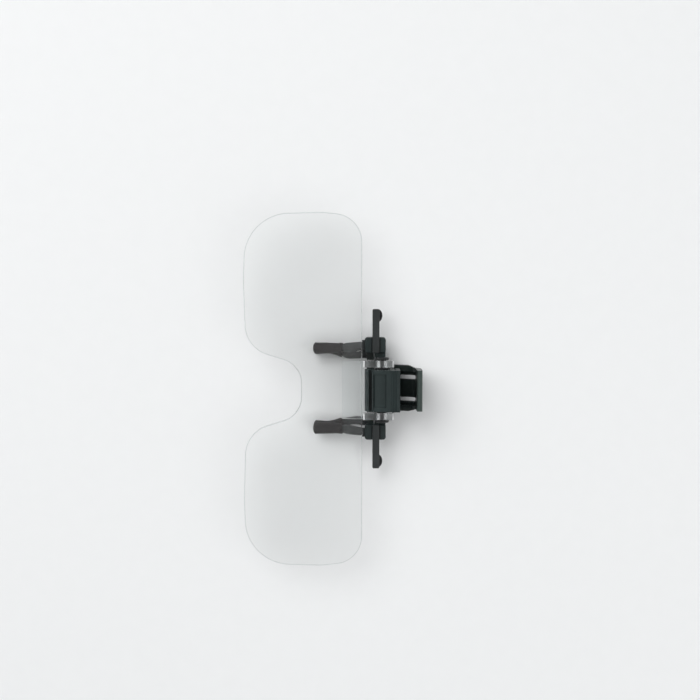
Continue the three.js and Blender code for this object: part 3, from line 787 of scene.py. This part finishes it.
def make_lens_pair():
    outline = lens_outline()
    inner = inset(outline, lens_edge_ease)
    grid = grid_inside(inset(outline, lens_edge_ease + lens_grid / 2), inner)
    count = len(outline)
    edges = [(i, (i + 1) % count) for i in range(count)]
    points, _, faces, *_ = delaunay_2d_cdt(inner + grid, edges, [], 1, tiny)

    bm = bmesh.new()
    front = [bm.verts.new((p.x, p.y, lens_front(p.x, p.y))) for p in points]
    for face in faces:
        bm.faces.new([front[i] for i in face])

    # The rounded rim, from the front face's edge over to the flat back
    quarter = [math.pi / 2 * i / lens_edge_steps for i in range(1, lens_edge_steps + 1)]
    rings = [front[:count]]
    for angle in quarter:
        loop = inset(outline, lens_edge_ease * (1 - math.sin(angle)))
        fall = lens_edge_ease * (1 - math.cos(angle))
        heights = [lens_front(p.x, p.y) - fall for p in inner]
        rings.append([bm.verts.new((p.x, p.y, z)) for p, z in zip(loop, heights)])
    for angle in reversed([0, *quarter]):
        loop = inset(outline, lens_edge_ease * (1 - math.sin(angle)))
        z = -lens_back + lens_edge_ease * (1 - math.cos(angle))
        rings.append([bm.verts.new((p.x, p.y, z)) for p in loop])
    skin(bm, rings)
    bm.faces.new(rings[-1])
    piece(from_bmesh(bm), "lens_pair", lens_acrylic, "lens_unit")


def make_hinge_bracket():
    front_z = -lens_back - seat_gap
    rear_z = front_z - plate_thickness
    plate_top_x = -barrel_radius - seat_gap - running_gap
    plate_bottom_x = lens_top_x - plate_lap
    plate = rounded_box(plate_bottom_x, plate_top_x, -ear_outer, ear_outer, ear_radius / 2)
    body = prism(plate, rear_z, front_z)
    ear = rounded_box(lens_top_x + seat_gap, ear_reach, rear_z, ear_half_depth, ear_radius)
    ears = [prism(ear, sign * ear_inner, sign * ear_outer, True) for sign in sides.values()]
    body = join(body, *ears)
    bore = rod(hinge_pin_radius + running_gap, -ear_outer - overrun, ear_outer + overrun, 0, 0)
    body = eased(cut(body, bore), clear_ease)
    piece(body, "hinge_bracket", bracket_acrylic, "lens_unit")


def headed_pin(radius, head_radius, half_length, x, z):
    seat = half_length + seat_gap
    end = seat + pin_head_thickness
    round_off = pin_head_thickness / 2
    corner = (head_radius - round_off, end - round_off)
    crown = arc(corner, round_off, 0, math.pi / 2, corner_steps)
    half = [(radius, seat), (head_radius, seat), *[(p.x, p.y) for p in crown], (0, end)]
    mirrored = [(r, -y) for r, y in reversed(half)]
    return turned(mirrored + half, x, z, rod_steps)


def make_pins():
    pin = headed_pin(hinge_pin_radius, hinge_head_radius, ear_outer, 0, 0)
    piece(pin, "hinge_pin", black_steel, "clip_body")
    pin = headed_pin(jaw_pin_radius, jaw_head_radius, jaw_half_width, pivot_x, -pivot_drop)
    piece(pin, "jaw_pin", bright_steel, "clip_body")
    for side, sign in sides.items():
        near = sign * block_half_width
        far = sign * (block_half_width + washer_thickness)
        washer = rod(washer_radius, near, far, 0, 0)
        past = sign * overrun
        bore = rod(hinge_pin_radius + running_gap, near - past, far + past, 0, 0)
        washer = eased(cut(washer, bore), washer_ease, washer_ease_steps)
        piece(washer, f"friction_washer_{side}", black_steel, "clip_body")


# Legs and tips


def leg_line(sign, root_y, root_x, root_drop, bow, end_drop, inboard):
    """The path of a leg, from its root in the frame to its end inside the rubber."""
    tip_y = tip_spacing / 2
    exit_x = root_x - leg_socket
    end_x = leg_floor - tip_end
    mid_drop = (root_drop + end_drop) / 2
    bow_y, collar_y = [mixed(tip_y, root_y, share) for share in inboard]
    points = [
        Vector((root_x, sign * root_y, -root_drop)),
        Vector((exit_x, sign * root_y, -root_drop + bow / 3)),
        Vector(((exit_x - tip_start) / 2, sign * bow_y, -mid_drop + bow)),
        Vector((-tip_start, sign * collar_y, -(mid_drop + end_drop) / 2 + bow / 4)),
        Vector(((end_x - tip_start) / 2, sign * tip_y, -end_drop)),
        Vector((end_x, sign * tip_y, -end_drop)),
    ]
    return through(points, leg_steps)


def front_line(sign):
    end_drop = grip_plane - seat_gap / 2 + grip_flat_depth - tip_half_thickness
    root_x = leg_socket - shoulder_bottom
    root = (front_leg_root_y, root_x, front_leg_root_drop)
    return leg_line(sign, *root, front_bow, end_drop, front_inboard)


def rear_line(sign):
    end_drop = floor_drop - tip_half_thickness
    root_x = rail_bottom_x + leg_socket
    root = (rear_leg_root_y, root_x, rear_leg_root_drop)
    return leg_line(sign, *root, -rear_bow, end_drop, rear_inboard)


def leg(line, clearance=0.0):
    """A flattened bar along its path; a clearance gives the socket that it sits in."""
    points, directions = line
    rings = []
    for i, (centre, direction) in enumerate(zip(points, directions)):
        narrowing = blend_share(i / (len(points) - 1), *leg_taper)
        half_width = mixed(leg_root_half_width, leg_end_half_width, narrowing) + clearance
        half_thickness = leg_half_thickness + clearance
        rings.append(section(centre, direction, half_width, half_thickness, leg_squareness))
    rings[0] = [p - directions[0] * clearance for p in rings[0]]
    rings[-1] = [p + directions[-1] * clearance for p in rings[-1]]
    return loft(rings)


def tip(line, facing):
    """A rubber sleeve over a leg's end, with a beaded mouth, a wide toe and a flat grip face."""
    points, directions = line
    start = next(i for i, p in enumerate(points) if p.x < -tip_start)
    rings = []
    for i in range(start, len(points)):
        share = (i - start) / (len(points) - 1 - start)
        width = mixed(tip_collar_half_width, tip_toe_half_width, math.sin(share * math.pi / 2))
        bead = tip_bead * math.exp(-((share / tip_bead_share) ** tip_bead_fall))
        width = width - tip_bead + bead
        thickness = tip_half_thickness - tip_bead + bead
        rings.append(section(points[i], directions[i], width, thickness, tip_squareness))
    mouth = rings[0]
    middle = points[start]
    rings.insert(0, [mixed(middle, p, 1 - tip_bead / tip_collar_half_width) for p in mouth])
    end, direction = points[-1], directions[-1]
    for i in range(1, tip_dome_steps + 1):
        angle = math.pi / 2 * i / (tip_dome_steps + tip_dome_rest)
        centre = end + direction * leg_floor * math.sin(angle)
        width = tip_toe_half_width * math.cos(angle)
        thickness = (tip_half_thickness - tip_bead) * math.cos(angle)
        rings.append(section(centre, direction, width, thickness, tip_squareness))
    grip = -grip_plane + facing * seat_gap / 2
    beyond = grip - facing * (tip_end - tip_start)
    toe_x = -tip_end - overrun
    flat = block(toe_x, 0, -tip_spacing, tip_spacing, grip, beyond)
    under = block(toe_x, 0, -tip_spacing, tip_spacing, -2 * floor_drop, -floor_drop)
    sleeve = cut(loft(rings), flat, under)
    return cut(eased(sleeve, tip_ease), leg(line, running_gap))


def make_legs():
    for side, sign in sides.items():
        front = ("front", front_line(sign), 1, "clip_body")
        rear = ("rear", rear_line(sign), -1, "jaw_unit")
        for place, line, facing, body in (front, rear):
            piece(leg(line), f"{place}_leg_{side}", painted_steel, body)
            piece(tip(line, facing), f"{place}_tip_{side}", tip_rubber, body)


# Front frame, cover, arms and pads


def lug(near, far, root_z):
    """A round eye about the jaw pin, with a web that reaches its carrier at a height."""
    eye = rod(pivot_radius, near, far, pivot_x, -pivot_drop, lug_steps)
    web = block(pivot_x - pivot_radius, pivot_x + pivot_radius, near, far, root_z, -pivot_drop)
    return join(eye, web)


def make_front_frame():
    half = block_half_width
    barrel = rod(barrel_radius, -half, half, 0, 0, barrel_steps)
    core = block(cover_start_x, core_top_x, -half, half, -block_rear, cover_seat)
    reach = barrel_radius + block_height
    wide = half + overrun
    cover_space = block(cover_start_x, reach, -wide, wide, cover_seat, reach)
    top_space = block(core_top_x, reach, -wide, wide, -reach, reach)
    groove_top = cover_seat + overrun
    groove = block(cover_start_x, cover_bottom_x, -wide, wide, groove_floor, groove_top)
    knuckle = cut(join(barrel, core), cover_space, top_space, groove)

    bar_end = shoulder_inner + overrun
    bar_outline = rounded_box(-bar_bottom, bar_top, -bar_end, bar_end, mould_ease)
    bar = prism(bar_outline, bar_rear_z, -block_rear)
    neck_low, neck_high = mould_ease - bar_bottom, bar_top - mould_ease
    root_z = bar_rear_z + mould_ease
    neck = block(neck_low, neck_high, -half, half, root_z, -block_rear + overrun)
    whole = join(knuckle, bar, neck)
    for sign in sides.values():
        near, far = sign * shoulder_inner, sign * shoulder_outer
        outline = rounded_box(-shoulder_bottom, shoulder_top, near, far, shoulder_radius)
        shoulder = prism(outline, -shoulder_rear, -shoulder_front)
        whole = join(whole, eased(shoulder, shoulder_ease, shoulder_ease_steps))
        whole = join(whole, lug(sign * lug_inner, sign * (lug_inner + lug_thickness), root_z))
    for sign in sides.values():
        channel = block(
            -arm_bottom - seat_gap,
            arm_height - arm_bottom + seat_gap,
            sign * (shoulder_inner - overrun),
            sign * (shoulder_outer + overrun),
            arm_rear_z - seat_gap,
            -shoulder_front + overrun,
        )
        whole = cut(whole, channel)
    whole = eased(whole, mould_ease)
    for sign in sides.values():
        whole = cut(whole, leg(front_line(sign), running_gap))
    end = wide + jaw_half_width
    hinge_bore = rod(hinge_pin_radius + running_gap, -end, end, 0, 0)
    jaw_bore = rod(jaw_pin_radius + running_gap, -end, end, pivot_x, -pivot_drop)
    whole = cut(whole, hinge_bore, jaw_bore)
    piece(whole, "front_frame", block_plastic, "clip_body")


def make_grip_cover():
    grip_top = barrel_radius + grip_step
    start = math.acos(cover_bottom_x / barrel_radius)
    profile = [Vector((cover_bottom_x, cover_seat + seat_gap))]
    profile += arc((0, 0), barrel_radius, start, math.pi / 2, cover_steps)
    profile.append(Vector((grip_start, barrel_radius)))
    profile.append(Vector((grip_start + grip_step / 2, grip_top)))
    ridge_pitch = (block_height - grip_corner - grip_start - grip_step) / ridge_count
    for i in range(ridge_count):
        x = grip_start + grip_step + i * ridge_pitch
        profile.append(Vector((x, grip_top)))
        profile.append(Vector((x + ridge_pitch / 4, grip_top - ridge_depth)))
        profile.append(Vector((x + ridge_pitch / 2, grip_top)))
    corner = (block_height - grip_corner, grip_top - grip_corner)
    profile += arc(corner, grip_corner, math.pi / 2, 0, grip_corner_steps)
    profile += [
        Vector((block_height, -cover_skirt)),
        Vector((block_height - cover_top_wall, -cover_skirt)),
        Vector((block_height - cover_top_wall, cover_seat + seat_gap)),
    ]
    shell = prism(profile, -block_half_width, block_half_width, True)
    recess_radius = barrel_radius - panel_depth
    outside = barrel_radius + overrun
    first = math.acos(panel_start / recess_radius)
    last = math.acos(panel_end / recess_radius)
    recess = arc((0, 0), recess_radius, first, last, panel_steps)
    recess += [Vector((panel_end, outside)), Vector((panel_start, outside))]
    panel = prism(recess, -panel_half_width, panel_half_width, True)
    body = eased(cut(shell, panel), cover_ease)
    piece(body, "grip_cover", block_plastic, "clip_body")


def stem(radius, x, y, z0, z1):
    outline = arc((x, y), radius, 0, 2 * math.pi, stem_steps)[:-1]
    return prism(outline, z0, z1)


def arm_pad(x, y):
    """A flat oval button with a rounded edge, and the stub that holds it in its arm."""
    half = pad_thickness / 2
    middle_z = arm_rear_z - seat_gap - half
    rings = []
    for p in arc((0, 0), 1, -math.pi / 2, math.pi / 2, pad_edge_steps):
        shrink = pad_edge * (1 - p.x)
        width, length = pad_half_width - shrink, pad_half_length - shrink
        z = middle_z + half * p.y
        angles = full_turn(pad_steps)
        rings.append([(x + width * math.cos(a), y + length * math.sin(a), z) for a in angles])
    stub_end = arm_rear_z + pad_stem_depth - 2 * running_gap
    return join(loft(rings), stem(pad_stem_radius, x, y, middle_z, stub_end))


def make_side_arms():
    pad_x = pad_top - pad_half_width
    socket_radius = pad_stem_radius + running_gap
    for side, sign in sides.items():
        near, far = sign * shoulder_inner, sign * arm_end
        outline = rounded_box(-arm_bottom, arm_height - arm_bottom, near, far, arm_height / 5)
        bar = eased(prism(outline, arm_rear_z, -arm_front), arm_ease)
        pad_y = sign * pad_centre
        low_z, high_z = arm_rear_z - overrun, arm_rear_z + pad_stem_depth
        arm = cut(bar, stem(socket_radius, pad_x, pad_y, low_z, high_z))
        piece(arm, f"side_arm_{side}", painted_steel, "clip_body")
        piece(arm_pad(pad_x, pad_y), f"arm_pad_{side}", pad_rubber, "clip_body")


# Rear jaw


def jaw_bend(depth):
    """The lever's bends, at a depth in front of its back face.

    Gives the knee point, and the centre and the starting angle of the upper bend.
    """
    lean = Vector((math.cos(lever_lean), math.sin(lever_lean)))
    knee_x = pivot_x + window_top
    run = (shelf_top - jaw_sweep + jaw_sweep * lean.y - knee_x) / lean.x
    centre = Vector((shelf_top - jaw_sweep, -floor_drop + run * lean.y + jaw_sweep * lean.x))
    knee = Vector((knee_x - depth * math.tan(lever_lean / 2), depth - floor_drop))
    return knee, centre, lever_lean - math.pi / 2


def lever_outline():
    outer, centre, start = jaw_bend(0)
    inner, _, _ = jaw_bend(jaw_thickness)
    lip = shelf_thickness / 2
    outline = [Vector((rail_bottom_x, -floor_drop)), Vector((rail_bottom_x, jaw_front_z)), inner]
    outline += arc(centre, jaw_sweep - jaw_thickness, start, 0, bend_steps)
    outline += arc((shelf_under + lip, shelf_front - lip), lip, math.pi, 0, lip_steps)
    outline += arc(centre, jaw_sweep, 0, start, bend_steps)
    outline.append(outer)
    return outline


def rib_outline():
    """A stiffening rib that follows the lever's front face from the window into the bend."""
    outer, centre, start = jaw_bend(jaw_thickness / 2)
    inner, _, _ = jaw_bend(jaw_thickness + rib_height)
    outline = [outer, inner]
    outline += arc(centre, jaw_sweep - jaw_thickness - rib_height, start, 0, rib_steps)
    outline += arc(centre, jaw_sweep - jaw_thickness / 2, 0, start, rib_steps)
    return outline


def make_rear_jaw():
    narrow_x = shelf_under - shelf_narrowing
    low_x = rail_bottom_x - overrun
    half = [
        (low_x, -jaw_half_width, 0),
        (narrow_x, -jaw_half_width, jaw_thickness),
        (shelf_under, -shelf_half_width, jaw_thickness),
        (shelf_top + overrun, -shelf_half_width, 0),
    ]
    outline = rounded(half + [(x, -y, radius) for x, y, radius in reversed(half)])
    whole = prism(lever_outline(), -jaw_half_width, jaw_half_width, True)
    for sign in sides.values():
        inner, outer = sign * (jaw_half_width - rib_width), sign * jaw_half_width
        whole = join(whole, prism(rib_outline(), inner, outer, True))
    under = -floor_drop - overrun
    within = prism(outline, under, shelf_front + overrun)
    whole = combined("INTERSECT", whole, within)
    wing_ends = (-wing_half_width, wing_half_width)
    rail = rounded_box(rail_bottom_x, rail_top_x + wing_rise, *wing_ends, wing_ease)
    whole = join(whole, prism(rail, -floor_drop, jaw_front_z))
    window_ends = (-window_half_width, window_half_width)
    window = block(rail_top_x, pivot_x + window_top, *window_ends, under, -block_rear)
    whole = cut(whole, window)
    for sign in sides.values():
        near, far = sign * window_half_width, sign * jaw_half_width
        whole = join(whole, lug(near, far, jaw_front_z - jaw_thickness / 2))
    for sign in sides.values():
        near, far = sign * slot_inner, sign * (slot_inner + slot_width)
        slot = rounded_box(slot_start, shelf_under, near, far, slot_width / 3)
        whole = cut(whole, prism(slot, under, -block_rear + overrun))
    whole = eased(whole, mould_ease)
    for sign in sides.values():
        whole = cut(whole, leg(rear_line(sign), running_gap))
    wide = jaw_half_width + overrun
    bore = rod(jaw_pin_radius + running_gap, -wide, wide, pivot_x, -pivot_drop)
    piece(cut(whole, bore), "rear_jaw", jaw_plastic, "jaw_unit")


def make_jaw_spring():
    """One wire: an end against the block, the coils round the jaw pin, an end against the lever."""
    half_coil = coil_turns * coil_pitch / 2
    tube = 2 * wire_radius
    block_z = -block_rear - seat_gap
    front_z = coil_radius - pivot_drop
    front_x = pivot_x + coil_radius + 2 * spring_end_bend + wire_radius
    knee, _, _ = jaw_bend(jaw_thickness)
    along = Vector((math.cos(lever_lean), 0, math.sin(lever_lean)))
    square = Vector((-math.sin(lever_lean), 0, math.cos(lever_lean)))
    seat = Vector((knee.x, -half_coil, knee.y)) + along * spring_reach
    points = [
        Vector((front_x, half_coil, block_z)),
        Vector((front_x, half_coil, block_z - tube)),
        Vector((front_x - spring_end_bend / 4, half_coil, front_z + spring_end_bend / 4)),
        Vector((front_x - spring_end_bend, half_coil, front_z)),
    ]
    for i in range(coil_turns * curl_steps):
        angle = 2 * math.pi * i / curl_steps
        x = pivot_x - coil_radius * math.sin(angle)
        y = half_coil - coil_pitch * i / curl_steps
        points.append(Vector((x, y, coil_radius * math.cos(angle) - pivot_drop)))
    points += [
        Vector((pivot_x + spring_end_bend, -half_coil, front_z)),
        seat + square * (seat_gap + 2 * spring_end_bend) - along * spring_end_bend,
        seat + square * (seat_gap + tube),
        seat + square * seat_gap,
    ]
    centres, directions = through(points, coil_turns * spring_steps)
    rings = []
    side = Vector((0, 1, 0))
    for centre, direction in zip(centres, directions):
        side = (side - direction * side.dot(direction)).normalized()
        over = direction.cross(side)
        spokes = [side * math.cos(a) + over * math.sin(a) for a in full_turn(wire_steps)]
        rings.append([centre + spoke * wire_radius for spoke in spokes])
    wire = loft(rings)
    spring = piece(wire, "jaw_spring", bright_steel, None, wire_crease_angle)
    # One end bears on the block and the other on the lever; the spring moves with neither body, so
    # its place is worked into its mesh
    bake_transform(spring)


make_lens_pair()
make_hinge_bracket()
make_pins()
make_front_frame()
make_grip_cover()
make_side_arms()
make_legs()
make_rear_jaw()
make_jaw_spring()

# Camera: straight over the object and a little towards its left side, framed as the photograph is
camera_distance = 500 * mm
camera_tilt = math.radians(3.4)
picture_width = 246.4 * mm  # at the height of the flip axis
picture_centre = Vector((6.03 * mm, 14.1 * mm, flip_axis.z))
sensor_width = 36
nearest_seen = 10 * mm
farthest_seen = 10

camera = bpy.data.objects.new("camera", bpy.data.cameras.new("camera"))
camera.data.sensor_width = sensor_width
camera.data.lens = sensor_width * camera_distance / picture_width
camera.data.clip_start = nearest_seen
camera.data.clip_end = farthest_seen
towards_camera = Vector((0, math.sin(camera_tilt), math.cos(camera_tilt)))
camera.location = picture_centre + towards_camera * camera_distance
camera.rotation_euler = (-camera_tilt, 0, 0)
bpy.context.scene.collection.objects.link(camera)
bpy.context.scene.camera = camera

# Floor, in metres
floor_radius = 2.5
floor_bend = 1.5  # where the floor curves up into its surrounding wall
wall_height = 2.2
floor_steps = 96
floor_bend_steps = 24
floor_material = surface(
    "floor", (0.86, 0.87, 0.875), (0.85, 0.95), 900, 0.005, 0.004, Specular_IOR_Level=0.1
)
backdrop_colour = (0.88, 0.89, 0.895)
fade_start = 0.15
fade_end = 0.7


def fade_to_backdrop(material):
    """Far out the floor shows as one even tone, though it lights the object as before."""
    tree = material.node_tree
    place = coordinates(tree, "Object")
    distance = add_node(tree, "VectorMath", {0: place}, operation="LENGTH").outputs["Value"]
    reach = {"Value": distance, "From Min": fade_start, "From Max": fade_end}
    far = add_node(tree, "MapRange", reach, interpolation_type="SMOOTHSTEP").outputs["Result"]
    rays = add_node(tree, "LightPath", {}).outputs
    seen = rays["Is Camera Ray"]
    for ray in ("Is Glossy Ray", "Is Transmission Ray"):
        either = add_node(tree, "Math", {0: seen, 1: rays[ray]}, operation="MAXIMUM")
        seen = either.outputs["Value"]
    share = add_node(tree, "Math", {0: far, 1: seen}, operation="MULTIPLY").outputs["Value"]
    glow = add_node(tree, "Emission", {"Color": (*backdrop_colour, 1)}).outputs["Emission"]
    mix_over(material, share, glow)


def make_floor():
    """A flat round floor whose far rim curves up, so that no horizon shows behind the object."""
    bend = arc((floor_radius, floor_bend), floor_bend, -math.pi / 2, 0, floor_bend_steps)
    wall = Vector((floor_radius + floor_bend, wall_height))
    bm = bmesh.new()
    rings = []
    for radius, height in [Vector((floor_radius / 2, 0)), *bend, wall]:
        places = [(radius * math.cos(a), radius * math.sin(a)) for a in full_turn(floor_steps)]
        rings.append([bm.verts.new((x, y, height)) for x, y in places])
    bm.faces.new(rings[0])
    for low, high in zip(rings, rings[1:]):
        for i in range(floor_steps):
            j = (i + 1) % floor_steps
            bm.faces.new((low[j], low[i], high[i], high[j]))
    mesh = bpy.data.meshes.new("floor")
    bm.to_mesh(mesh)
    bm.free()
    mesh.materials.append(floor_material)
    mesh.shade_smooth()
    floor = bpy.data.objects.new("floor", mesh)
    bpy.context.scene.collection.objects.link(floor)


fade_to_backdrop(floor_material)
make_floor()

# Light: powers in watts, places and sizes in metres
key_place = Vector((-0.45, 0.5, 0.75))
key_size = (0.9, 0.7)
key_power = 5.2
fill_place = Vector((0.55, -0.25, 0.6))
fill_size = (0.5, 0.5)
fill_power = 1.4
sky_light = (0.35, 1.0)  # at the horizon and higher up
sky_span = (0.0, 0.75)
key_glow = 1.8
glow_span = (0.8, 1.0)
world_strength = 0.5


def area_light(name, place, size, power):
    """A soft rectangular light at a place, aimed at the object."""
    light = bpy.data.lights.new(name, "AREA")
    light.shape = "RECTANGLE"
    light.size, light.size_y = size
    light.energy = power
    holder = bpy.data.objects.new(name, light)
    holder.visible_glossy = False
    holder.visible_transmission = False
    holder.location = place
    holder.rotation_euler = (-place).to_track_quat("-Z", "Y").to_euler()
    bpy.context.scene.collection.objects.link(holder)


def make_world():
    """A sky that is lighter higher up, with the key light in it as shiny surfaces see it."""
    world = bpy.data.worlds.new("studio")
    world.use_nodes = True
    tree = world.node_tree
    direction = coordinates(tree, "Generated")
    sky = ramp(tree, upright_part(tree, direction), *sky_light, sky_span)
    to_key = {0: direction, 1: key_place.normalized()}
    nearness = add_node(tree, "VectorMath", to_key, operation="DOT_PRODUCT").outputs["Value"]
    glow = ramp(tree, nearness, 0.0, key_glow, glow_span)
    layers = {"Fac": 1, "Color1": sky, "Color2": glow}
    total = add_node(tree, "MixRGB", layers, blend_type="ADD").outputs["Color"]
    background = tree.nodes["Background"]
    feed(tree, background.inputs["Color"], total)
    feed(tree, background.inputs["Strength"], world_strength)
    bpy.context.scene.world = world


area_light("key", key_place, key_size, key_power)
area_light("fill", fill_place, fill_size, fill_power)
make_world()

bpy.context.scene.view_settings.view_transform = "Standard"

# Light that runs on inside the clear lens needs more turns than usual before it comes out
bpy.context.scene.cycles.max_bounces = 32
bpy.context.scene.cycles.glossy_bounces = 16
bpy.context.scene.cycles.transmission_bounces = 24
